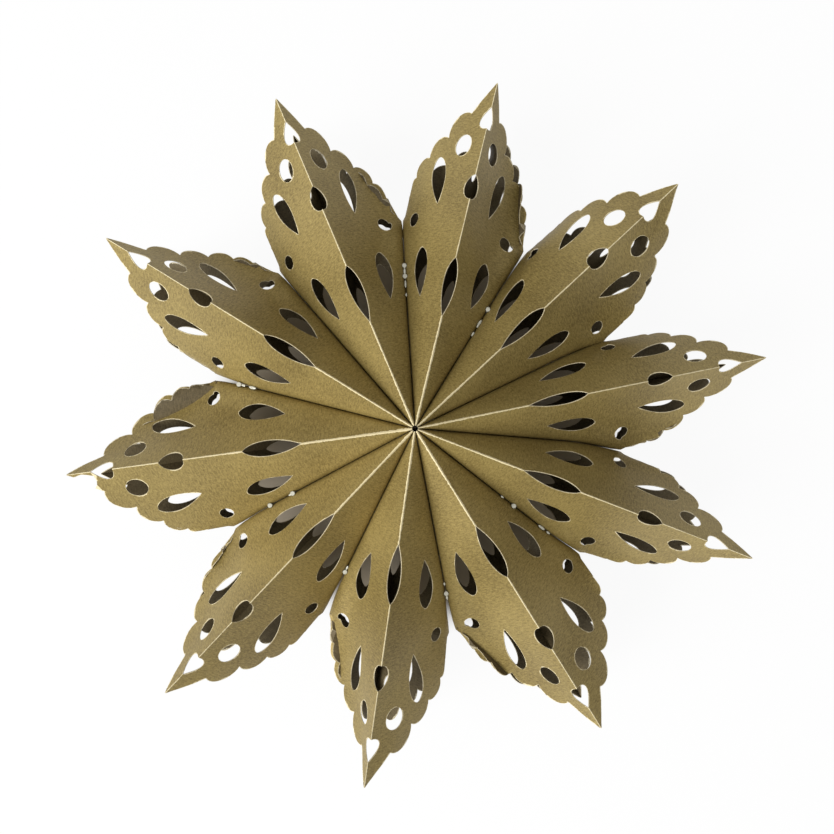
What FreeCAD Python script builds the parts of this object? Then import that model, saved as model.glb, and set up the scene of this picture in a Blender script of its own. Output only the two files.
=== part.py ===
"""Ten-pointed folding paper star.

Ten flat paper pockets are glued face to face along the middle of their faces and fanned out
round a common axis until the first meets the last.  Every pocket comes from the same die-cut
sheet: two side folds become the front and the back ridge of a petal, the glued middle of each
face becomes the valley beside it, and the pocket's bottom edge stands on the axis of the star.
The star lies on its back: +Z is up and the lowest point of the back hub is at z = 0.
"""
import FreeCAD, Part
import math
import os

# Paper and glue
paper = 0.3                # thickness of the card
bottom_fold = 0.6          # the pocket's bottom, where the card is folded over double
glue_film = 0.2            # thickness of the glue between two pockets
hub_hole = 1.0             # distance from the axis to each pocket's bottom edge

# One pocket, pressed flat: lengths run out from the bottom edge, widths in from a side fold
half_width = 45.0          # side fold to the middle of the face
side_length = 151.0        # bottom edge to the tip, along the side fold
glue_length = 92.7         # bottom edge to the end of the glued middle line
mouth_margin = 11.0        # cut edge past the end of the glue, on the middle line

# The star as it was opened, in degrees, petal by petal clockwise: the bearing of the glued seam
# before each petal, how far its front ridge leads the middle, and how far its back ridge trails
seam_bearings = [131.2, 93.8, 58.4, 25.6, -5.0, -38.3, -79.4, -115.9, -151.8, -193.8]
front_leads = [0.45, 0.6, 0.9, 1.0, 0.5, 0.8, -0.4, 0.7, 0.6, -0.3]
back_lags = [0.5, 0.5, 3.5, 2.0, 2.0, 1.0, 1.0, 1.0, 1.0, 1.0]
# how much flatter each petal's ridges lie than unstretched card would let them, in degrees
ridge_lifts = [1.0, -0.8, -0.4, -0.8, 0.8, 1.3, 2.8, 2.8, 1.2, 1.7]

# Scalloped mouth: notches counted back from the tip, each with its distance from the side fold
tip_blunt = 0.7            # half width of the squared-off point
notches_from_fold = [(12.5, 11.4), (22.1, 23.3), (30.0, 34.0)]
notches_from_middle = [(38.4, 4.0), (46.5, 0.9)]
scallop_rises = [0.4, 4.9, 4.3, 3.6, 2.2, 0.2]
scallop_steps = 3

# Holes on a side fold, which open into whole holes across the ridge
tip_hole_inset = 20.7      # from the tip back to the hole's rounded end
tip_hole_length = 9.9
tip_hole_width = 10.6
tip_hole_blunt = 0.5       # how round the broad end is: small is rounder
ridge_hole_inset = 46.7    # from the tip back to the centre
ridge_hole_radius = 5.4
ridge_leaf_start = 47.2    # from the bottom edge to the leaf's point
ridge_leaf_length = 25.7
ridge_leaf_width = 9.2
leaf_blunt = 0.6           # the same for the leaves and drops

# Holes in the panel beside the fold
outer_hole_inset = 27.0
outer_hole_offset = 12.2
outer_hole_radius = 4.8
drop_inset = 52.6          # from the tip back to the drop's point
drop_offset = 21.0
drop_length = 22.6
drop_width = 8.8
drop_turn = 14.8           # degrees away from the side fold
small_hole_inset = 58.8
small_hole_offset = 9.7    # from the middle of the face
small_hole_radius = 3.1
leaf_start = 56.5          # from the bottom edge to the leaf's point
leaf_offset = 18.0
leaf_length = 23.4
leaf_width = 8.4
leaf_turn = 17.4
round_steps = 8
small_round_steps = 6
leaf_steps = 4

# The torn tip of petal 9: the front panel on its counter-clockwise side
torn_petal = 9
torn_edge = [(7.0, 10.2), (10.8, 7.6), (11.4, 2.6), (6.5, 0.9), (2.6, 1.9)]

# Glue: a bar along the bottom edge, a strip along the middle line, and squeezed-out beads
glue_bar_width = 7.0
glue_bar_inset = 9.0       # bar's end below the front and back apex
glue_strip_width = 6.0
glue_strip_inset = 8.0     # strip's end short of the glue line's end
bead_radius = 1.3
bead_lift = 0.4            # bead's centre above the valley line
bead_sides = 8
bead_shoulder = 0.7        # height of the shoulder, as a share of the radius
bead_reaches = {1: [66.0, 71.0], 2: [60.0], 5: [54.0], 6: [74.0], 7: [70.0], 8: [72.0, 60.0], 9: [80.0]}

# How far the cutting shapes run past what they cut
cut_clearance = 0.3        # past the card's two faces
fold_flat = 0.5            # half width that runs square across a fold
past_tip = 22.0            # past the tip, along the ridge
past_middle = 9.0          # past the middle of the face


def vector(x, y, z):
    return FreeCAD.Vector(x, y, z)


def bearing_vector(bearing):
    angle = math.radians(bearing)
    return vector(math.cos(angle), math.sin(angle), 0)


class Plane:
    """A wall of the pocket: a point on it and the direction that leaves the pocket."""

    def __init__(self, point, outward):
        self.point = point
        self.outward = outward

    def inset(self, depth):
        return Plane(self.point - self.outward * depth, self.outward)


def plane_through(first, second, third, inside):
    normal = (second - first).cross(third - first).normalize()
    if (inside - first).dot(normal) > 0:
        normal = normal * -1
    return Plane(first, normal)


def meeting_point(a, b, c):
    """The corner that three walls share."""
    bc = b.outward.cross(c.outward)
    ca = c.outward.cross(a.outward)
    ab = a.outward.cross(b.outward)
    total = (bc * a.point.dot(a.outward)) + (ca * b.point.dot(b.outward)) + (ab * c.point.dot(c.outward))
    return total / a.outward.dot(bc)


def polygon_face(points):
    return Part.Face(Part.makePolygon(list(points) + [points[0]]))


def ridge_slope(half_gap):
    """Fall of the ridge, in radians, that keeps the card unstretched at this opening."""
    level = glue_length * math.cos(half_gap)
    return math.atan2(half_width, level) - math.acos(glue_length / math.hypot(half_width, level))


# The sheet's pattern, as outlines of (along, across) in the flat pocket


def arc_between(start, end, rise, steps):
    """Points of a round arc that bulges away from the bottom edge."""
    chord = math.hypot(end[0] - start[0], end[1] - start[1])
    radius = (chord * chord / 4 + rise * rise) / (2 * rise)
    half_angle = math.asin(chord / 2 / radius)
    if rise > chord / 2:
        half_angle = math.pi - half_angle
    ahead = ((end[0] - start[0]) / chord, (end[1] - start[1]) / chord)
    side = (ahead[1], -ahead[0])
    points = []
    for step in range(1, steps + 1):
        angle = half_angle * (2 * step / steps - 1)
        along_chord = chord / 2 + radius * math.sin(angle)
        off_chord = radius * math.cos(angle) - radius + rise
        points.append((start[0] + ahead[0] * along_chord + side[0] * off_chord,
                       start[1] + ahead[1] * along_chord + side[1] * off_chord))
    return points


def mouth_notches():
    notches = [(side_length - back, across) for back, across in notches_from_fold]
    notches += [(side_length - back, half_width - short) for back, short in notches_from_middle]
    return notches + [(glue_length + mouth_margin, half_width)]


def mouth_outline():
    """The scalloped cut edge, from the tip at the side fold to the middle of the face."""
    points = [(side_length, tip_blunt)]
    for notch, rise in zip(mouth_notches(), scallop_rises):
        steps = scallop_steps if rise > 1 else 1
        points += arc_between(points[-1], notch, rise, steps)
    return points


def torn_outline():
    """The same edge where the point has been torn away beside the fold."""
    whole = mouth_outline()
    torn = [(side_length - back, across) for back, across in reversed(torn_edge)]
    return whole[:1] + torn + whole[1:]


def round_outline(along, across, radius, steps):
    points = []
    for step in range(steps):
        angle = 2 * math.pi * step / steps
        points.append((along + radius * math.cos(angle), across + radius * math.sin(angle)))
    return points


def leaf_side(length, width, blunt, steps):
    """Half of a leaf: pointed where it starts, round where it ends, widest past the middle."""
    widest = 1 / (1 + blunt)
    peak = widest * (1 - widest) ** blunt
    points = []
    for step in range(steps + 1):
        share = (1 - math.cos(math.pi * step / steps)) / 2
        points.append((length * share, width / 2 * share * (1 - share) ** blunt / peak))
    return points


def leaf_outline(along, across, length, width, turn, steps):
    side = leaf_side(length, width, leaf_blunt, steps)
    loop = side + [(reach, -spread) for reach, spread in reversed(side[1:-1])]
    angle = math.radians(turn)
    return [(along + reach * math.cos(angle) - spread * math.sin(angle),
             across + reach * math.sin(angle) + spread * math.cos(angle)) for reach, spread in loop]


def panel_holes():
    return [
        round_outline(side_length - outer_hole_inset, outer_hole_offset, outer_hole_radius, round_steps),
        leaf_outline(side_length - drop_inset, drop_offset, drop_length, drop_width, drop_turn, leaf_steps),
        round_outline(side_length - small_hole_inset, half_width - small_hole_offset,
                      small_hole_radius, small_round_steps),
        leaf_outline(leaf_start, leaf_offset, leaf_length, leaf_width, leaf_turn, leaf_steps),
    ]


def ridge_holes():
    """Halves of the holes that lie across a side fold."""
    tip_end = side_length - tip_hole_inset + tip_hole_length
    tip_half = [(tip_end - reach, spread)
                for reach, spread in leaf_side(tip_hole_length, tip_hole_width, tip_hole_blunt, leaf_steps)]
    circle = round_outline(side_length - ridge_hole_inset, 0, ridge_hole_radius, round_steps)
    circle_half = circle[:round_steps // 2 + 1]
    leaf_half = [(ridge_leaf_start + reach, spread)
                 for reach, spread in leaf_side(ridge_leaf_length, ridge_leaf_width, leaf_blunt, leaf_steps)]
    return [tip_half, circle_half, leaf_half]


class Petal:
    """One pocket opened between two seams: its corners, walls and panels."""

    def __init__(self, number):
        self.number = number
        self.left = seam_bearings[number - 1]
        self.right = seam_bearings[number] if number < len(seam_bearings) else seam_bearings[0] - 360
        middle = (self.left + self.right) / 2
        half_gap = math.radians(self.left - self.right) / 2
        slope = ridge_slope(half_gap) - math.radians(ridge_lifts[number - 1])
        rise = vector(0, 0, half_width)
        self.centre = bearing_vector(middle)
        apex = self.centre * (glue_film / 2 / math.sin(half_gap)) + rise
        reach = side_length * math.cos(slope)
        drop = vector(0, 0, side_length * math.sin(slope))
        lead = front_leads[number - 1]
        lag = back_lags[number - 1]
        self.front_apex = apex + rise
        self.back_apex = apex - rise
        self.front_tip = self.front_apex + bearing_vector(middle + lead) * reach - drop
        self.back_tip = self.back_apex + bearing_vector(middle + lead - lag) * reach + drop
        self.inside = self.centre * glue_length / 2 + rise
        self.left_end = self.seam_end(self.left, -1)
        self.right_end = self.seam_end(self.right, 1)
        self.walls = self.make_walls()

    def seam_end(self, bearing, turn):
        along = bearing_vector(bearing)
        inward = vector(-along.y, along.x, 0) * turn
        return along * glue_length + inward * (glue_film / 2) + vector(0, 0, half_width)

    def make_walls(self):
        return {
            "front_left": plane_through(self.front_apex, self.front_tip, self.left_end, self.inside),
            "front_right": plane_through(self.front_apex, self.front_tip, self.right_end, self.inside),
            "back_left": plane_through(self.back_apex, self.back_tip, self.left_end, self.inside),
            "back_right": plane_through(self.back_apex, self.back_tip, self.right_end, self.inside),
            "web_left": plane_through(self.front_apex, self.back_apex, self.left_end, self.inside),
            "web_right": plane_through(self.front_apex, self.back_apex, self.right_end, self.inside),
        }

    def body(self, depth, start, end):
        """The closed pocket whose walls lie this deep inside the outer ones."""
        wall = {name: plane.inset(depth) for name, plane in self.walls.items()}
        near = Plane(self.centre * start, self.centre * -1)
        far = Plane(self.centre * end, self.centre)
        ring = ["front_left", "web_left", "back_left", "back_right", "web_right", "front_right"]
        near_points = [meeting_point(near, wall[ring[k - 1]], wall[ring[k]]) for k in range(6)]
        far_points = [meeting_point(far, wall[a], wall[b]) for a, b in (
            ("front_left", "front_right"), ("front_left", "back_left"),
            ("back_left", "back_right"), ("back_right", "front_right"))]
        left_corner = meeting_point(wall["front_left"], wall["back_left"], wall["web_left"])
        right_corner = meeting_point(wall["front_right"], wall["back_right"], wall["web_right"])
        top, left, bottom, right = far_points
        ridge, left_front, left_back, keel, right_back, right_front = near_points
        faces = [
            near_points, far_points,
            [ridge, top, left, left_corner, left_front],
            [ridge, right_front, right_corner, right, top],
            [keel, left_back, left_corner, left, bottom],
            [keel, bottom, right, right_corner, right_back],
            [left_front, left_corner, left_back],
            [right_front, right_back, right_corner],
        ]
        return Part.makeSolid(Part.makeShell([polygon_face(points) for points in faces]))

    def panels(self):
        """Each printed panel: its wall's name, its apex, and the flat sheet's two directions."""
        rows = []
        for name, apex, tip, end in (
                ("front_left", self.front_apex, self.front_tip, self.left_end),
                ("front_right", self.front_apex, self.front_tip, self.right_end),
                ("back_left", self.back_apex, self.back_tip, self.left_end),
                ("back_right", self.back_apex, self.back_tip, self.right_end)):
            along = (tip - apex).normalize()
            across = (end - apex - along * glue_length) / half_width
            rows.append((name, apex, along, across))
        return rows

    def die(self, name, apex, along, across, outline):
        """A cutting die: the flat outline laid on the panel and run through the card.

        Near the fold it runs square to it, so that the dies of both panels meet flush.
        """
        outward = self.walls[name].outward
        start = apex + outward * cut_clearance
        square = (across - along * across.dot(along)).normalize()
        points = [start + along * reach + (across if spread > tip_blunt else square) * spread
                  for reach, spread in outline]
        return polygon_face(points).extrude(outward * -(paper + 2 * cut_clearance))

    def dies(self):
        past_fold = -(paper + cut_clearance)
        far = side_length + 2 * past_tip
        over_middle = half_width + past_middle
        cutters = []
        for name, apex, along, across in self.panels():
            torn = self.number == torn_petal and name == "front_left"
            edge = torn_outline() if torn else mouth_outline()
            middle = edge[-1]
            mouth = [(side_length, past_fold)] + edge
            mouth += [(middle[0], over_middle), (far, over_middle), (far, past_fold)]
            outlines = [mouth] + panel_holes()
            for half in ridge_holes():
                start, end = half[0][0], half[-1][0]
                outlines.append([(start, past_fold), (start, fold_flat)] + half[1:-1]
                                + [(end, fold_flat), (end, past_fold)])
            cutters += [self.die(name, apex, along, across, outline) for outline in outlines]
        return cutters

    def envelope(self):
        return self.body(0, hub_hole, side_length + past_tip)

    def solid(self):
        hollow = self.body(paper, hub_hole + bottom_fold, side_length + past_tip + cut_clearance)
        return self.envelope().cut(hollow).cut(self.dies())


def glue_seam(number, envelopes):
    """The glue between a petal and the one before it: a film in the gap and beads in the valley."""
    bearing = seam_bearings[number]
    along = bearing_vector(bearing)
    normal = vector(-along.y, along.x, 0)
    bar_start = hub_hole + bottom_fold
    bar_end = bar_start + glue_bar_width
    bar_top = half_width * (1 - bar_end / glue_length) - glue_bar_inset
    strip_end = glue_length - glue_strip_inset
    strip = glue_strip_width / 2
    corners = [(bar_start, -bar_top), (bar_end, -bar_top), (bar_end, -strip), (strip_end, -strip),
               (strip_end, strip), (bar_end, strip), (bar_end, bar_top), (bar_start, bar_top)]
    middle = vector(0, 0, half_width) - normal * (glue_film / 2)
    film = polygon_face([middle + along * reach + vector(0, 0, height) for reach, height in corners])
    pieces = [film.extrude(normal * glue_film)]
    for reach in bead_reaches.get(number, []):
        valley = half_width * (2 - reach / glue_length)
        centre = along * reach + vector(0, 0, valley + bead_lift)
        pieces.append(bead(centre).cut(envelopes))
    return Part.makeCompound(pieces)


def bead(centre):
    """A drop of set glue, as a faceted drop with rounded shoulders."""
    rings = []
    for level in (-bead_shoulder, 0.0, bead_shoulder):
        ring_radius = bead_radius * math.sqrt(1 - level * level)
        rings.append([centre + bearing_vector(360 * k / bead_sides) * ring_radius
                      + vector(0, 0, bead_radius * level) for k in range(bead_sides)])
    faces = [polygon_face(rings[0]), polygon_face(rings[-1])]
    for lower, upper in zip(rings, rings[1:]):
        for k in range(bead_sides):
            after = (k + 1) % bead_sides
            faces.append(polygon_face([lower[k], lower[after], upper[after], upper[k]]))
    return Part.makeSolid(Part.makeShell(faces))


def main():
    os.makedirs("parts", exist_ok=True)
    petals = [Petal(number) for number in range(1, len(seam_bearings) + 1)]
    envelopes = [petal.envelope() for petal in petals]
    for petal in petals:
        solid = petal.solid()
        solid.exportStep("parts/petal_%02d.step" % petal.number)
        print("petal_%02d" % petal.number, "valid", solid.isValid(), "solids", len(solid.Solids),
              "volume %.1f" % solid.Volume)
    for number in range(len(seam_bearings)):
        beside = [envelopes[number - 1], envelopes[number]]
        seam = glue_seam(number, beside)
        seam.exportStep("parts/glue_seam_%02d.step" % (number + 1))
        print("glue_seam_%02d" % (number + 1), "valid", seam.isValid(), "solids", len(seam.Solids))


main()
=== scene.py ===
"""Ten-pointed folding paper star, lying on its back.

Ten pockets of olive-gold card, each die-cut flat, are glued face to face and fanned out round a
common axis.  Lengths are given in millimetres and turned into metres by mm.
"""
import math

import bpy
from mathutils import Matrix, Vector, noise


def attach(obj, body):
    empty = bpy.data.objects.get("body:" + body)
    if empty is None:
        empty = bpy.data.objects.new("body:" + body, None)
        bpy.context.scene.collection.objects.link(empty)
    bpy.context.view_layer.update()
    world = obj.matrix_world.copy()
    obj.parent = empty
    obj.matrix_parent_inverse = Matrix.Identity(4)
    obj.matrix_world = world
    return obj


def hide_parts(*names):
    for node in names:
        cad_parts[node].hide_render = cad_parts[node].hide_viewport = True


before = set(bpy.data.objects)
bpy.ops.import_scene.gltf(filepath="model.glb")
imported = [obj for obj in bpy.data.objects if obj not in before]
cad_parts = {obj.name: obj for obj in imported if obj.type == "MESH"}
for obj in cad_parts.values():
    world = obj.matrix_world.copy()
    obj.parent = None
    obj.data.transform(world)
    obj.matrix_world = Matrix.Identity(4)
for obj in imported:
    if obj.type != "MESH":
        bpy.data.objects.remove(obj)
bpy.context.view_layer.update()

mm = 0.001


# The card of one pocket, cut flat. The real sheet is thin printed card that a steel die cuts in one
# stroke: a scalloped mouth, and round, leaf and drop holes. One face of the pocket is cut here as a
# quarter that fans out from the end of the side fold, and mirrored over the middle of the face.
half_width = 45.0
side_length = 151.0
glue_length = 92.7
mouth_margin = 11.0
bottom_gap = 1.0
punch_reach = 4.0
past_edge = 6.0

tip_blunt = 0.7
notches_from_fold = [(12.5, 11.4), (22.1, 23.3), (30.0, 34.0)]
notches_from_middle = [(38.4, 4.0), (46.5, 0.9)]
scallop_rises = [0.4, 4.9, 4.3, 3.6, 2.2, 0.2]
scallop_steps = 12

# holes over the fold: how far each lies back from the tip, or on from the bottom, and its size
tip_hole_inset = 20.7
tip_hole_length = 9.9
tip_hole_width = 10.6
tip_hole_blunt = 0.5
ring_inset = 46.7
ring_radius = 5.4
ridge_leaf_start = 47.2
ridge_leaf_length = 25.7
ridge_leaf_width = 9.2
leaf_blunt = 0.6

# holes in the panel; a leaf's values are its place across, its length, width and turn in degrees
big_hole_inset = 27.0
big_hole_across = 12.2
big_hole_radius = 4.8
drop_inset = 52.6
drop_shape = (21.0, 22.6, 8.8, 14.8)
small_hole_inset = 58.8
small_hole_short = 9.7
small_hole_radius = 3.1
side_leaf = (56.5, 18.0, 23.4, 8.4, 17.4)

fan_rows = 84
fan_first_row = 0.8
fan_last_row = 200.0
fan_growth = 1.6
valley_angle = math.atan2(half_width, glue_length)
fan_stretches = [(valley_angle * 0.55, 6), (valley_angle, 9), (valley_angle * 1.45, 9), (math.pi / 2, 6)]


def deselect():
    bpy.ops.object.select_all(action="DESELECT")


def pick(piece):
    deselect()
    piece.select_set(True)
    bpy.context.view_layer.objects.active = piece


def in_edit_mode(piece, *steps):
    """Runs edit-mode steps on all of a piece."""
    pick(piece)
    bpy.ops.object.mode_set(mode="EDIT")
    bpy.ops.mesh.select_all(action="SELECT")
    for step in steps:
        step()
    bpy.ops.object.mode_set(mode="OBJECT")


def arc_between(start, end, rise, steps):
    """Points of a round arc that bulges away from the pocket's bottom."""
    chord = math.dist(start, end)
    radius = (chord * chord / 4 + rise * rise) / (2 * rise)
    half_angle = math.asin(chord / 2 / radius)
    if rise > chord / 2:
        half_angle = math.pi - half_angle
    ahead = ((end[0] - start[0]) / chord, (end[1] - start[1]) / chord)
    points = []
    for step in range(1, steps + 1):
        angle = half_angle * (2 * step / steps - 1)
        along_chord = chord / 2 + radius * math.sin(angle)
        off_chord = radius * math.cos(angle) - radius + rise
        points.append((start[0] + ahead[0] * along_chord + ahead[1] * off_chord,
                       start[1] + ahead[1] * along_chord - ahead[0] * off_chord))
    return points


def mouth_outline():
    """The scalloped cut edge, as (along, from the fold), from the tip to the middle of the face."""
    notches = [(side_length - back, across) for back, across in notches_from_fold]
    notches += [(side_length - back, half_width - short) for back, short in notches_from_middle]
    notches.append((glue_length + mouth_margin, half_width))
    points = [(side_length, 0), (side_length - tip_blunt / 2, tip_blunt)]
    for notch, rise in zip(notches, scallop_rises):
        points += arc_between(points[-1], notch, rise, scallop_steps if rise > 1 else 3)
    return points


def round_hole(along, across, radius, steps=32):
    return [(along + radius * math.cos(2 * math.pi * step / steps),
             across + radius * math.sin(2 * math.pi * step / steps)) for step in range(steps)]


def leaf_side(length, width, blunt, steps=16):
    """Half of a leaf: pointed where it starts, round where it ends, widest past the middle."""
    widest = 1 / (1 + blunt)
    peak = widest * (1 - widest) ** blunt
    shares = [(1 - math.cos(math.pi * step / steps)) / 2 for step in range(steps + 1)]
    return [(length * share, width / 2 * share * (1 - share) ** blunt / peak) for share in shares]


def leaf_hole(along, across, length, width, turn):
    side = leaf_side(length, width, leaf_blunt)
    loop = side + [(reach, -spread) for reach, spread in reversed(side[1:-1])]
    angle = math.radians(turn)
    return [(along + reach * math.cos(angle) - spread * math.sin(angle),
             across + reach * math.sin(angle) + spread * math.cos(angle)) for reach, spread in loop]


def across_fold(half):
    """A hole that lies over the side fold: its half, closed beyond the fold."""
    return [(half[0][0], -past_edge)] + half + [(half[-1][0], -past_edge)]


def punches():
    """The outlines that the die cuts away from a quarter of the pocket."""
    mouth = mouth_outline()
    far_end = fan_last_row + past_edge
    beyond = [(glue_length + mouth_margin, half_width + past_edge), (far_end, half_width + past_edge),
              (far_end, -past_edge), (side_length, -past_edge)]
    tip_hole = leaf_side(tip_hole_length, tip_hole_width, tip_hole_blunt)
    tip_hole_end = side_length - tip_hole_inset + tip_hole_length
    ring = round_hole(side_length - ring_inset, 0, ring_radius)
    ridge_leaf = leaf_side(ridge_leaf_length, ridge_leaf_width, leaf_blunt)
    return [
        mouth + beyond,
        across_fold([(tip_hole_end - reach, spread) for reach, spread in tip_hole]),
        across_fold(ring[:len(ring) // 2 + 1]),
        across_fold([(ridge_leaf_start + reach, spread) for reach, spread in ridge_leaf]),
        round_hole(side_length - big_hole_inset, big_hole_across, big_hole_radius),
        leaf_hole(side_length - drop_inset, *drop_shape),
        round_hole(side_length - small_hole_inset, half_width - small_hole_short, small_hole_radius, 24),
        leaf_hole(*side_leaf),
    ]


def punch(outline):
    """A cutting tool that stands on an outline: x along the pocket, y from its middle line."""
    bpy.ops.mesh.primitive_circle_add(vertices=len(outline), fill_type="NGON")
    tool = bpy.context.object
    for corner, (along, from_fold) in zip(tool.data.vertices, outline):
        corner.co = (along * mm, (half_width - from_fold) * mm, -punch_reach * mm)
    in_edit_mode(
        tool,
        lambda: bpy.ops.mesh.extrude_region_move(
            TRANSFORM_OT_translate={"value": (0, 0, 2 * punch_reach * mm)}),
        lambda: bpy.ops.mesh.select_all(action="SELECT"),
        lambda: bpy.ops.mesh.normals_make_consistent(inside=False),
    )
    return tool


def cut_away(sheet, tool):
    cut = sheet.modifiers.new("die", "BOOLEAN")
    cut.operation = "DIFFERENCE"
    cut.solver = "EXACT"
    cut.object = tool
    pick(sheet)
    bpy.ops.object.modifier_apply(modifier=cut.name)
    bpy.data.objects.remove(tool)


fan_angles = [0.0]
for stretch_end, stretch_steps in fan_stretches:
    stretch_start = fan_angles[-1]
    fan_angles += [stretch_start + (stretch_end - stretch_start) * (step + 1) / stretch_steps
                   for step in range(stretch_steps)]

bpy.ops.mesh.primitive_grid_add(x_subdivisions=fan_rows, y_subdivisions=len(fan_angles) - 1, size=1)
face_sheet = bpy.context.object
face_sheet.name = "flat_face"
for corner in face_sheet.data.vertices:
    share = corner.co.x + 0.5
    row = fan_first_row + (fan_last_row - fan_first_row) * share ** fan_growth
    angle = fan_angles[round((corner.co.y + 0.5) * (len(fan_angles) - 1))]
    corner.co = (row * math.cos(angle) * mm, (half_width - row * math.sin(angle)) * mm, 0)

in_edit_mode(
    face_sheet,
    lambda: bpy.ops.mesh.bisect(plane_co=(0, 0, 0), plane_no=(0, -1, 0), clear_outer=True),
    lambda: bpy.ops.mesh.select_all(action="SELECT"),
    lambda: bpy.ops.mesh.bisect(plane_co=(bottom_gap * mm, 0, 0), plane_no=(1, 0, 0), clear_inner=True),
    lambda: bpy.ops.mesh.select_all(action="SELECT"),
    lambda: bpy.ops.mesh.extrude_region_move(TRANSFORM_OT_translate={"value": (0, 0, mm)}),
    lambda: bpy.ops.mesh.select_all(action="SELECT"),
    lambda: bpy.ops.mesh.normals_make_consistent(inside=False),
)
for outline in punches():
    cut_away(face_sheet, punch(outline))

in_edit_mode(face_sheet, lambda: bpy.ops.transform.translate(value=(0, 0, -mm / 2)))
mirror = face_sheet.modifiers.new("back half", "MIRROR")
mirror.use_axis = (False, True, False)
mirror.merge_threshold = 0.01 * mm
pick(face_sheet)
bpy.ops.object.modifier_apply(modifier=mirror.name)


# The torn pocket's face. One point has been torn open beside its fold, from the mouth into the hole
# behind it, so that face gets one more cut along the ragged edge.
torn_petal = 9
torn_edge = [(7.0, 10.2), (9.2, 9.3), (10.8, 7.6), (11.6, 5.4),
             (11.4, 2.6), (8.6, 1.5), (6.5, 0.9), (2.6, 1.9)]

pick(face_sheet)
bpy.ops.object.duplicate()
torn_sheet = bpy.context.object
torn_sheet.name = "flat_torn_face"
tear = [(side_length + past_edge, -past_edge), (side_length + past_edge, torn_edge[0][1])]
tear += [(side_length - back, across) for back, across in torn_edge]
tear.append((side_length, 0.0))
tear.append((side_length, -past_edge))
cut_away(torn_sheet, punch(tear))


# Only the printed side of each cut sheet is kept here; the card gets its thickness once it is folded.
# Every corner remembers its distance from the side fold and from the cut edge, for print, wear and the
# painted highlight on the folds.
def keep_printed_side(sheet):
    pick(sheet)
    bpy.ops.object.mode_set(mode="EDIT")
    bpy.ops.mesh.select_all(action="DESELECT")
    bpy.ops.mesh.select_mode(type="FACE")
    bpy.ops.object.mode_set(mode="OBJECT")
    for face in sheet.data.polygons:
        face.select = face.normal.z < 0.5
    bpy.ops.object.mode_set(mode="EDIT")
    bpy.ops.mesh.delete(type="FACE")
    bpy.ops.mesh.select_all(action="SELECT")
    bpy.ops.mesh.remove_doubles(threshold=0.02 * mm)
    bpy.ops.object.mode_set(mode="OBJECT")
    for corner in sheet.data.vertices:
        corner.co.z = 0


pattern_size = 200

for sheet in (face_sheet, torn_sheet):
    keep_printed_side(sheet)
    from_fold = sheet.data.attributes.new("from_fold", "FLOAT", "POINT")
    rim = sheet.data.attributes.new("rim", "FLOAT", "POINT")
    pattern = sheet.data.uv_layers.new(name="pattern")
    border = {}
    for face in sheet.data.polygons:
        for key in face.edge_keys:
            border[key] = border.get(key, 0) + 1
    for key, uses in border.items():
        for corner in key:
            co = sheet.data.vertices[corner].co
            at_fold = abs(abs(co.y) - half_width * mm) < 0.02 * mm
            at_bottom = co.x < (bottom_gap + 0.05) * mm
            if uses == 1 and not at_fold and not at_bottom:
                rim.data[corner].value = 1.0
    for corner, value in zip(sheet.data.vertices, from_fold.data):
        value.value = half_width * mm - abs(corner.co.y)
    for loop, spot in zip(sheet.data.loops, pattern.data):
        co = sheet.data.vertices[loop.vertex_index].co
        spot.uv = (co.x / mm / pattern_size, co.y / mm / pattern_size + 0.5)


# Ten petals. Each pocket is opened by two folds that run from the ends of its bottom edge: the
# side folds stay straight as the front and back ridge, and the middle of each face is glued to
# the next pocket up to the seam's end, so the card folds softly there into the valley.
paper = 0.3
glue_film = 0.2
seam_bearings = [131.2, 93.8, 58.4, 25.6, -5.0, -38.3, -79.4, -115.9, -151.8, -193.8]
front_leads = [0.4, 0.45, 0.85, 1.05, 0.55, 0.65, -0.4, 0.5, 0.5, -0.3]
back_lags = [0.2, 1.0, 1.7, 0.0, 0.8, 0.3, 0.6, -0.4, -0.8, 0.6]
front_lifts = [1.0, -0.8, -0.4, -1.4, 0.9, 1.3, 2.8, 2.8, 1.3, 1.9]
back_lifts = [1.4, -0.3, 0.3, -1.7, 2.2, 1.4, 3.4, 2.3, 1.6, 3.8]
valley_softness = 2.5
valley_share = 0.7
mouth_softness = 3.0
# the open end of each panel, left then right: turned flatter (+) or steeper (-) about the ridge,
# its seam end pulled in towards the petal's middle, and its cut edge curled in
front_turns = ([0.02, 0.03, 0.17, 0.06, -0.06, -0.03, -0.03, 0.01, 0.03, 0.0],
               [-0.16, -0.26, -0.04, -0.15, -0.12, -0.18, -0.20, -0.13, -0.19, -0.18])
back_turns = ([-0.24, -0.40, -0.29, -0.18, 0.12, -0.28, -0.25, -0.12, -0.16, 0.20],
              [-0.28, 0.10, 0.20, -0.35, 0.20, 0.05, -0.31, 0.10, -0.35, -0.31])
seam_pulls = ([0.0, 0.4, 0.9, 1.2, 2.6, -1.2, 2.5, 1.1, -1.0, 1.8],
              [-0.6, -0.8, -1.4, -2.6, 1.5, 0.4, 0.8, 0.8, 0.0, -0.2])
right_leans = [0.13, 0.14, 0.11, 0.12, 0.08, 0.11, 0.08, 0.04, -0.04, 0.08]
front_curls = ([-0.1, -0.7, 0.5, 0.0, 0.0, -1.9, -2.6, -1.7, -1.0, -0.3],
               [-0.1, 0.4, -3.0, -0.3, -0.1, 1.0, 2.4, 1.9, 1.9, 0.9])
back_curls = ([4.5, 3.6, 3.8, 3.6, 0.2, -0.9, -1.5, 5.5, -0.7, -0.3],
              [2.5, 5.0, 0.3, -1.2, 4.2, 4.2, 4.1, 4.5, 3.1, 2.4])
turn_start = 45.0
turn_full = 105.0
pull_start = 65.0
pull_full = 100.0
curl_slant = 0.8
curl_start = 112.0
curl_full = 150.0
curl_from_fold = 14.0
free_past = 12.0
wave_height = 0.35
wave_size = 26.0


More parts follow.
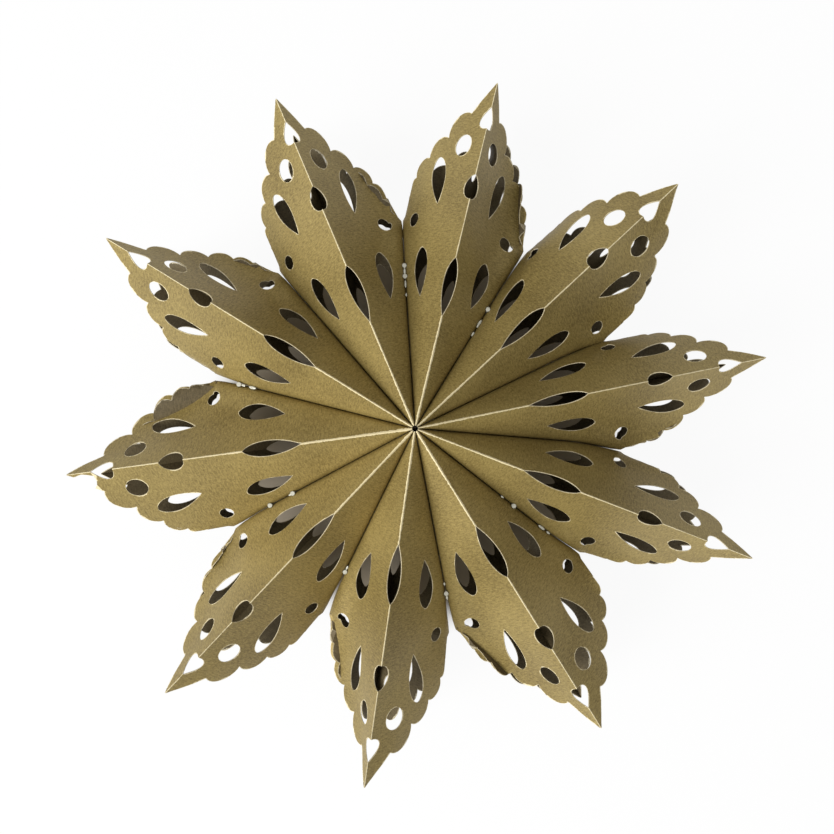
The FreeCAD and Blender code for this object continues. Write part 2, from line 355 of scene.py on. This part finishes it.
def bearing_vector(bearing):
    return Vector((math.cos(math.radians(bearing)), math.sin(math.radians(bearing)), 0))


def ridge_slope(half_gap):
    """Fall of the ridge, in radians, that keeps the card unstretched at this opening."""
    level = glue_length * math.cos(half_gap)
    return math.atan2(half_width, level) - math.acos(glue_length / math.hypot(half_width, level))


def smooth(value, low, high):
    share = min(max((value - low) / (high - low), 0.0), 1.0)
    return share * share * (3 - 2 * share)


def eased(distance, softness):
    """Distance past a fold, eased so that the fold is round over this softness."""
    if distance <= -softness:
        return 0.0
    if distance >= softness:
        return distance
    return (distance + softness) ** 2 / (4 * softness)


class Fold:
    """One face of an opened pocket: where a point of the flat card comes to lie."""

    def __init__(self, petal, side):
        left = seam_bearings[petal]
        right = seam_bearings[petal + 1] if petal + 1 < len(seam_bearings) else seam_bearings[0] - 360
        middle = (left + right) / 2
        half_gap = math.radians(left - right) / 2
        slope = ridge_slope(half_gap)
        front_slope = slope - math.radians(front_lifts[petal])
        back_slope = slope - math.radians(back_lifts[petal])
        up = Vector((0, 0, half_width))
        apex = bearing_vector(middle) * (glue_film / 2 / math.sin(half_gap)) + up
        front_bearing = middle + front_leads[petal]
        front = bearing_vector(front_bearing) * math.cos(front_slope)
        front.z = -math.sin(front_slope)
        back = bearing_vector(front_bearing - back_lags[petal]) * math.cos(back_slope)
        back.z = math.sin(back_slope)
        seam = bearing_vector(left if side == "left" else right)
        inward = Vector((-seam.y, seam.x, 0)) * (-1 if side == "left" else 1)
        self.seam_end = seam * glue_length + inward * (glue_film / 2) + up
        self.apexes = (apex + up, apex - up)
        self.along = (front, back)
        self.across = tuple((self.seam_end - point - along * glue_length) / half_width
                            for point, along in zip(self.apexes, self.along))
        self.web_along = seam
        self.web_across = tuple((self.seam_end - point - seam * glue_length) / half_width
                                for point in self.apexes)
        self.parting = tuple((self.along[k] - self.web_along) * math.sin(valley_angle)
                             - (self.across[k] - self.web_across[k]) * math.cos(valley_angle)
                             for k in (0, 1))
        self.outward = tuple(self.turned_out(k, side) for k in (0, 1))
        row = 0 if side == "left" else 1
        self.turn = (front_turns[row][petal], back_turns[row][petal])
        self.curl = (front_curls[row][petal], back_curls[row][petal])
        self.pull = inward * seam_pulls[row][petal]
        self.lean = inward * (right_leans[petal] if side == "right" else 0.0)
        self.seed = Vector((petal * 7.3, 11.0 if side == "left" else 23.0, 5.0))

    def turned_out(self, half, side):
        normal = self.along[half].cross(self.across[half]).normalized()
        upward = 1 if half == 0 else -1
        return normal * (1 if normal.z * upward > 0 else -1)

    def panel(self, half, along, across):
        return self.apexes[half] + self.along[half] * along + self.across[half] * across

    def place(self, along, height):
        """height runs from half_width at the front fold to minus half_width at the back fold."""
        half = 0 if height >= 0 else 1
        across = half_width - abs(height)
        past_valley = along * math.sin(valley_angle) - across * math.cos(valley_angle)
        room = math.hypot(along, across) * math.sin(valley_angle)
        softness = max(min(valley_softness, valley_share * room), 0.01)
        free = smooth(past_valley, 0, free_past) if along <= glue_length else 1.0
        web = self.apexes[half] + self.web_along * along + self.web_across[half] * across
        point = self.panel(half, along, across)
        if along > glue_length:
            reach = min(mouth_softness, 1.6 * (along - glue_length) + 0.5)
            turned = min(max(0.5 + height / reach / 2, 0.0), 1.0)
            point = self.panel(1, along, half_width).lerp(self.panel(0, along, half_width), turned)
            point -= self.across[0] * eased(height, reach) + self.across[1] * eased(-height, reach)
            past_valley = max(past_valley, softness)
        if past_valley < softness:
            point = web + self.parting[half] * eased(past_valley, softness)
        rise = across * (1 - (across / half_width) ** 3)
        lift = self.turn[half] * smooth(along, turn_start, turn_full) * rise * free
        curled = smooth(along + curl_slant * across, curl_start, curl_full)
        lift -= self.curl[half] * curled * smooth(across, 0, curl_from_fold)
        bow = noise.noise((point / wave_size) + self.seed) * wave_height * min(rise / 6, 1.0) * free
        pulled = self.pull * (smooth(along, pull_start, pull_full) * (across / half_width) ** 2)
        pulled += self.lean * (max(along - glue_length, 0.0) * (across / half_width) ** 4)
        point = point + self.outward[half] * (lift + bow) + pulled
        return point * mm


def fold_face(petal, side):
    """A copy of the flat face, folded up as one side of a petal."""
    flat = torn_sheet if petal + 1 == torn_petal and side == "left" else face_sheet
    pick(flat)
    bpy.ops.object.duplicate()
    face = bpy.context.object
    fold = Fold(petal, side)
    for corner in face.data.vertices:
        corner.co = fold.place(corner.co.x / mm, corner.co.y / mm)
    if side == "left":
        in_edit_mode(face, bpy.ops.mesh.flip_normals)
    return face


petals = []
for petal in range(len(seam_bearings)):
    faces = [fold_face(petal, side) for side in ("left", "right")]
    deselect()
    for face in faces:
        face.select_set(True)
    bpy.context.view_layer.objects.active = faces[0]
    bpy.ops.object.join()
    piece = bpy.context.object
    piece.name = "petal_%02d_card" % (petal + 1)
    in_edit_mode(piece, lambda: bpy.ops.mesh.remove_doubles(threshold=0.02 * mm))
    card = piece.modifiers.new("card", "SOLIDIFY")
    card.thickness = paper * mm
    card.offset = -1
    # empty slots for the printed side, the cut edge and the inner side
    card.material_offset = 2
    card.material_offset_rim = 1
    for finish in range(3):
        piece.data.materials.append(None)
    pick(piece)
    bpy.ops.object.modifier_apply(modifier=card.name)
    bpy.ops.object.shade_smooth_by_angle(angle=math.radians(30))
    petals.append(piece)
for sheet in (face_sheet, torn_sheet):
    bpy.data.objects.remove(sheet)


# The card's finish: olive-gold printed metallic ink over a fine fibre grain, rubbed through to the
# pale paper on every fold and along the cut edges, most of all round the hub; the pale band on each
# fold is also a painted highlight for the fold's rounded edge. The inner side is painted a darker
# brown as painted shade for the pocket's inside, and is duller, and the card's own thickness shows
# as pale paper.
def node(tree, kind, **values):
    made = tree.nodes.new(kind)
    for name, value in values.items():
        setattr(made, name, value)
    return made


def math_node(tree, operation, first, second, clamp=False):
    made = node(tree, "ShaderNodeMath", operation=operation, use_clamp=clamp)
    for socket, value in zip(made.inputs, (first, second)):
        if isinstance(value, (int, float)):
            socket.default_value = value
        else:
            tree.links.new(value, socket)
    return made.outputs[0]


def noise_node(tree, vector, size, detail):
    made = node(tree, "ShaderNodeTexNoise")
    made.inputs["Scale"].default_value = size
    made.inputs["Detail"].default_value = detail
    tree.links.new(vector, made.inputs["Vector"])
    return made.outputs["Fac"]


grain_group = bpy.data.node_groups.new("card_grain", "ShaderNodeTree")
grain_group.interface.new_socket("Dark", in_out="INPUT", socket_type="NodeSocketColor")
grain_group.interface.new_socket("Light", in_out="INPUT", socket_type="NodeSocketColor")
grain_group.interface.new_socket("Color", in_out="OUTPUT", socket_type="NodeSocketColor")
grain_group.interface.new_socket("Height", in_out="OUTPUT", socket_type="NodeSocketFloat")
given = node(grain_group, "NodeGroupInput")
result = node(grain_group, "NodeGroupOutput")
place = node(grain_group, "ShaderNodeTexCoord").outputs["Object"]
print_place = node(grain_group, "ShaderNodeUVMap", uv_map="pattern").outputs["UV"]
weave = node(grain_group, "ShaderNodeMapping")
weave.inputs["Scale"].default_value = (1.0, 0.25, 1.0)
grain_group.links.new(print_place, weave.inputs["Vector"])
fine_share = 0.45
contrast = 2.6
fine = noise_node(grain_group, place, 1500, 2)
fibres = noise_node(grain_group, weave.outputs["Vector"], 330, 3)
patches = noise_node(grain_group, place, 28, 3)
mixed = math_node(grain_group, "MULTIPLY", fine, fine_share)
mixed = math_node(grain_group, "ADD", mixed, math_node(grain_group, "MULTIPLY", fibres, 1 - fine_share))
spread = math_node(grain_group, "MULTIPLY", math_node(grain_group, "SUBTRACT", mixed, 0.5), contrast)
spread = math_node(grain_group, "ADD", spread, patches, clamp=True)
tones = node(grain_group, "ShaderNodeMix", data_type="RGBA")
grain_group.links.new(spread, tones.inputs["Factor"])
grain_group.links.new(given.outputs["Dark"], tones.inputs["A"])
grain_group.links.new(given.outputs["Light"], tones.inputs["B"])
grain_group.links.new(tones.outputs["Result"], result.inputs["Color"])
grain_group.links.new(mixed, result.inputs["Height"])

wear_and_highlight_group = bpy.data.node_groups.new("card_wear_and_highlight", "ShaderNodeTree")
wear_and_highlight_group.interface.new_socket("Fold Reach", in_out="INPUT", socket_type="NodeSocketFloat")
wear_and_highlight_group.interface.new_socket("Rim Share", in_out="INPUT", socket_type="NodeSocketFloat")
wear_and_highlight_group.interface.new_socket("Mask", in_out="OUTPUT", socket_type="NodeSocketFloat")
given = node(wear_and_highlight_group, "NodeGroupInput")
result = node(wear_and_highlight_group, "NodeGroupOutput")
place = node(wear_and_highlight_group, "ShaderNodeTexCoord").outputs["Object"]
print_place = node(wear_and_highlight_group, "ShaderNodeUVMap", uv_map="pattern").outputs["UV"]
apart = node(wear_and_highlight_group, "ShaderNodeSeparateXYZ")
wear_and_highlight_group.links.new(print_place, apart.inputs["Vector"])
near_hub = node(wear_and_highlight_group, "ShaderNodeMapRange")
near_hub.inputs["From Min"].default_value = 0.02
near_hub.inputs["From Max"].default_value = 0.6
near_hub.inputs["To Min"].default_value = 1.25
near_hub.inputs["To Max"].default_value = 0.6
wear_and_highlight_group.links.new(apart.outputs["X"], near_hub.inputs["Value"])
speckle = noise_node(wear_and_highlight_group, place, 1100, 3)
slow = noise_node(wear_and_highlight_group, place, 90, 2)
speckle_weight = 1.5
ragged_base = 0.35
fold_sharpness = 6000
rim_sharpness = 12
ragged = math_node(wear_and_highlight_group, "ADD", math_node(wear_and_highlight_group, "MULTIPLY", speckle, speckle_weight), slow)
ragged = math_node(wear_and_highlight_group, "SUBTRACT", ragged, ragged_base)
reach = math_node(wear_and_highlight_group, "MULTIPLY", ragged, near_hub.outputs["Result"])
reach = math_node(wear_and_highlight_group, "MULTIPLY", reach, given.outputs["Fold Reach"])
from_fold = node(wear_and_highlight_group, "ShaderNodeAttribute", attribute_name="from_fold").outputs["Fac"]
short_of = math_node(wear_and_highlight_group, "SUBTRACT", reach, from_fold)
# the pale band along each fold is rubbed-through paper and also a painted highlight for the rounded fold
fold_wear_and_highlight = math_node(wear_and_highlight_group, "MULTIPLY", short_of, fold_sharpness, clamp=True)
cut_edge = node(wear_and_highlight_group, "ShaderNodeAttribute", attribute_name="rim").outputs["Fac"]
rubbed_share = math_node(wear_and_highlight_group, "MULTIPLY", given.outputs["Rim Share"], speckle)
bare = math_node(wear_and_highlight_group, "SUBTRACT", 1.0, rubbed_share)
past_bare = math_node(wear_and_highlight_group, "SUBTRACT", cut_edge, bare)
on_rim = math_node(wear_and_highlight_group, "MULTIPLY", past_bare, rim_sharpness, clamp=True)
wear_and_highlight_group.links.new(math_node(wear_and_highlight_group, "MAXIMUM", fold_wear_and_highlight, on_rim), result.inputs["Mask"])


def card_finish(name, dark, light, worn_and_highlight_color, fold_reach, rim_share, metal, rough):
    """Printed card with its grain, its rubbed cut edges, and its folds, which are rubbed and carry a
    painted highlight.
    """
    made = bpy.data.materials.new(name)
    made.use_nodes = True
    tree = made.node_tree
    shader = tree.nodes["Principled BSDF"]
    shader.inputs["Roughness"].default_value = rough
    grain = node(tree, "ShaderNodeGroup", node_tree=grain_group)
    grain.inputs["Dark"].default_value = dark
    grain.inputs["Light"].default_value = light
    wear_and_highlight = node(tree, "ShaderNodeGroup", node_tree=wear_and_highlight_group)
    wear_and_highlight.inputs["Fold Reach"].default_value = fold_reach * mm
    wear_and_highlight.inputs["Rim Share"].default_value = rim_share
    shown = node(tree, "ShaderNodeMix", data_type="RGBA")
    shown.inputs["B"].default_value = worn_and_highlight_color
    tree.links.new(wear_and_highlight.outputs["Mask"], shown.inputs["Factor"])
    tree.links.new(grain.outputs["Color"], shown.inputs["A"])
    tree.links.new(shown.outputs["Result"], shader.inputs["Base Color"])
    foil = math_node(tree, "MULTIPLY", math_node(tree, "SUBTRACT", 1.0, wear_and_highlight.outputs["Mask"]), metal)
    tree.links.new(foil, shader.inputs["Metallic"])
    bump = node(tree, "ShaderNodeBump")
    bump.inputs["Strength"].default_value = 0.3
    bump.inputs["Distance"].default_value = 0.15 * mm
    tree.links.new(grain.outputs["Height"], bump.inputs["Height"])
    tree.links.new(bump.outputs["Normal"], shader.inputs["Normal"])
    return made


# the pale worn colour is rubbed-through paper; on the folds it is also a painted highlight
gold_card = card_finish("gold_card", (0.155, 0.108, 0.028, 1), (0.39, 0.295, 0.098, 1),
                        (0.72, 0.62, 0.38, 1), 0.7, 0.3, 0.3, 0.5)
# the inner side is painted a dark brown: painted shade for the shadowed inside of the pockets; it is also
# duller
inner_card_painted_shade = card_finish("inner_card_painted_shade", (0.07, 0.052, 0.022, 1), (0.17, 0.13, 0.065, 1),
                         (0.5, 0.44, 0.3, 1), 0.0, 0.3, 0.15, 0.6)
card_core = card_finish("card_core", (0.38, 0.31, 0.18, 1), (0.66, 0.58, 0.4, 1),
                        (0.7, 0.62, 0.45, 1), 0.0, 0.0, 0.0, 0.8)

for number, piece in enumerate(petals, start=1):
    for slot_number, finish in enumerate((gold_card, card_core, inner_card_painted_shade)):
        piece.data.materials[slot_number] = finish
    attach(piece, "root")
    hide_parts("petal_%02d" % number)

# Set glue. The seams are thin clear films that stay as the CAD made them, and a few drops were
# squeezed out of them: small glossy beads along the valleys, where the photograph shows them.
glue_film_look = bpy.data.materials.new("set_glue")
glue_film_look.use_nodes = True
tree = glue_film_look.node_tree
shader = tree.nodes["Principled BSDF"]
shader.inputs["Roughness"].default_value = 0.22
shader.inputs["Coat Weight"].default_value = 0.4
place = node(tree, "ShaderNodeTexCoord").outputs["Object"]
milky = node(tree, "ShaderNodeMix", data_type="RGBA")
milky.inputs["A"].default_value = (0.36, 0.34, 0.25, 1)
milky.inputs["B"].default_value = (0.74, 0.74, 0.66, 1)
tree.links.new(noise_node(tree, place, 900, 2), milky.inputs["Factor"])
tree.links.new(milky.outputs["Result"], shader.inputs["Base Color"])
for number in range(1, len(seam_bearings) + 1):
    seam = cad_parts["glue_seam_%02d" % number]
    seam.data.materials.clear()
    seam.data.materials.append(glue_film_look)

# number of the seam, distance from the hub, length, width and height, in mm
glue_drops = [(2, 62.5, 3.4, 0.9, 0.9), (2, 68.0, 4.6, 1.1, 1.0), (2, 57.5, 1.6, 0.7, 0.6),
              (3, 47.0, 2.2, 0.9, 0.8), (3, 52.5, 4.2, 1.2, 1.0), (3, 60.0, 1.8, 0.8, 0.7),
              (6, 47.5, 1.6, 0.8, 0.6), (6, 70.5, 3.6, 1.2, 0.9), (6, 74.5, 2.0, 1.0, 0.8),
              (7, 76.0, 2.4, 1.0, 0.8), (7, 69.5, 1.4, 0.8, 0.6), (8, 68.0, 2.2, 0.9, 0.7),
              (9, 61.0, 2.6, 0.9, 0.7), (9, 72.0, 1.8, 0.9, 0.7), (10, 73.5, 3.6, 1.3, 0.9),
              (10, 78.0, 2.0, 1.0, 0.7)]
bead_lift = 0.35
bead_swell = 0.35
drops = []
for number, distance, length, width, tall in glue_drops:
    seam = bearing_vector(seam_bearings[number - 1])
    height = half_width * (2 - distance / glue_length)
    bpy.ops.mesh.primitive_uv_sphere_add(segments=16, ring_count=10, radius=0.5 * mm)
    drop = bpy.context.object
    fall = math.atan2(half_width, glue_length)
    for corner in drop.data.vertices:
        along = corner.co.x * length
        swell = 1 + bead_swell * noise.noise(Vector((along / mm * 0.9, distance, number)))
        aside = corner.co.y * width * swell
        above = corner.co.z * tall * swell
        place = seam * ((distance + along / mm) * mm) + Vector((-seam.y, seam.x, 0)) * aside
        place.z = (height - along / mm * math.tan(fall) + bead_lift) * mm + above
        corner.co = place
    bpy.ops.object.shade_smooth()
    drops.append(drop)
deselect()
for drop in drops:
    drop.select_set(True)
bpy.context.view_layer.objects.active = drops[0]
bpy.ops.object.join()
glue_beads = bpy.context.object
glue_beads.name = "glue_beads"
glue_beads.data.materials.append(glue_film_look)
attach(glue_beads, "root")


# Floor, light and camera. A pale floor, painted dark brown under the star as painted shade and white to
# the camera beyond it; soft light from the lower left; and a camera straight above the hub, as the
# photograph has it.
bpy.ops.mesh.primitive_plane_add(size=6, location=(0, 0, 0))
floor = bpy.context.object
floor.name = "floor"
floor_white = bpy.data.materials.new("floor_white")
floor_white.use_nodes = True
tree = floor_white.node_tree
shader = tree.nodes["Principled BSDF"]
shader.inputs["Roughness"].default_value = 0.9
floor_place = node(tree, "ShaderNodeTexCoord").outputs["Object"]
far_out = node(tree, "ShaderNodeVectorMath", operation="LENGTH")
tree.links.new(floor_place, far_out.inputs[0])
outside = node(tree, "ShaderNodeMapRange")
outside.interpolation_type = "SMOOTHSTEP"
outside.inputs["From Min"].default_value = 0.084
outside.inputs["From Max"].default_value = 0.104
tree.links.new(far_out.outputs["Value"], outside.inputs["Value"])
# painted shade: the floor under the star is coloured dark brown, fading to pale past the star's edge
painted_shade_tint = node(tree, "ShaderNodeMix", data_type="RGBA")
painted_shade_tint.inputs["A"].default_value = (0.30, 0.26, 0.20, 1)
painted_shade_tint.inputs["B"].default_value = (0.8, 0.8, 0.8, 1)
tree.links.new(outside.outputs["Result"], painted_shade_tint.inputs["Factor"])
tree.links.new(painted_shade_tint.outputs["Result"], shader.inputs["Base Color"])
seen = node(tree, "ShaderNodeLightPath")
seen_at_all = math_node(tree, "MAXIMUM", seen.outputs["Is Camera Ray"], seen.outputs["Is Transmission Ray"])
seen_at_all = math_node(tree, "MAXIMUM", seen_at_all, seen.outputs["Is Glossy Ray"])
glow = node(tree, "ShaderNodeEmission")
white_level = 0.93
white_share = math_node(tree, "MULTIPLY", outside.outputs["Result"], white_level)
white_share = math_node(tree, "MULTIPLY", seen_at_all, white_share)
blend = node(tree, "ShaderNodeMixShader")
tree.links.new(white_share, blend.inputs["Fac"])
tree.links.new(shader.outputs["BSDF"], blend.inputs[1])
tree.links.new(glow.outputs["Emission"], blend.inputs[2])
tree.links.new(blend.outputs["Shader"], tree.nodes["Material Output"].inputs["Surface"])
floor.data.materials.append(floor_white)

scene = bpy.context.scene
scene.view_settings.view_transform = "Standard"
world = bpy.data.worlds.new("studio")
scene.world = world
world.use_nodes = True
world.node_tree.nodes["Background"].inputs["Color"].default_value = (1, 1, 1, 1)
sky_light = 0.55
straight_on = node(world.node_tree, "ShaderNodeLightPath").outputs["Is Camera Ray"]
brighter = math_node(world.node_tree, "MULTIPLY", straight_on, 1 - sky_light)
sky_level = math_node(world.node_tree, "ADD", brighter, sky_light)
world.node_tree.links.new(sky_level, world.node_tree.nodes["Background"].inputs["Strength"])

light_bearing = 208.0
light_height = 42.0
light_distance = 1.4
softbox_data = bpy.data.lights.new("softbox", "AREA")
softbox_data.size = 0.8
softbox_data.energy = 22
softbox = bpy.data.objects.new("softbox", softbox_data)
scene.collection.objects.link(softbox)
towards = bearing_vector(light_bearing) * math.cos(math.radians(light_height))
towards.z = math.sin(math.radians(light_height))
softbox.location = Vector((0, 0, half_width * mm)) + towards * light_distance
softbox.rotation_euler = (-towards).to_track_quat("-Z", "Y").to_euler()

photo_size = 834
focal_pixels = 1049.0
camera_height = 515.0
hub_pixel = (415.0, 428.5)
camera_data = bpy.data.cameras.new("camera")
camera_data.sensor_width = 36
camera_data.lens = focal_pixels / photo_size * camera_data.sensor_width
camera = bpy.data.objects.new("camera", camera_data)
scene.collection.objects.link(camera)
front_depth = camera_height - 2 * half_width
camera.location = (
    (photo_size / 2 - hub_pixel[0]) * front_depth / focal_pixels * mm,
    (hub_pixel[1] - photo_size / 2) * front_depth / focal_pixels * mm,
    camera_height * mm,
)
camera_data.clip_start = 0.01
scene.camera = camera
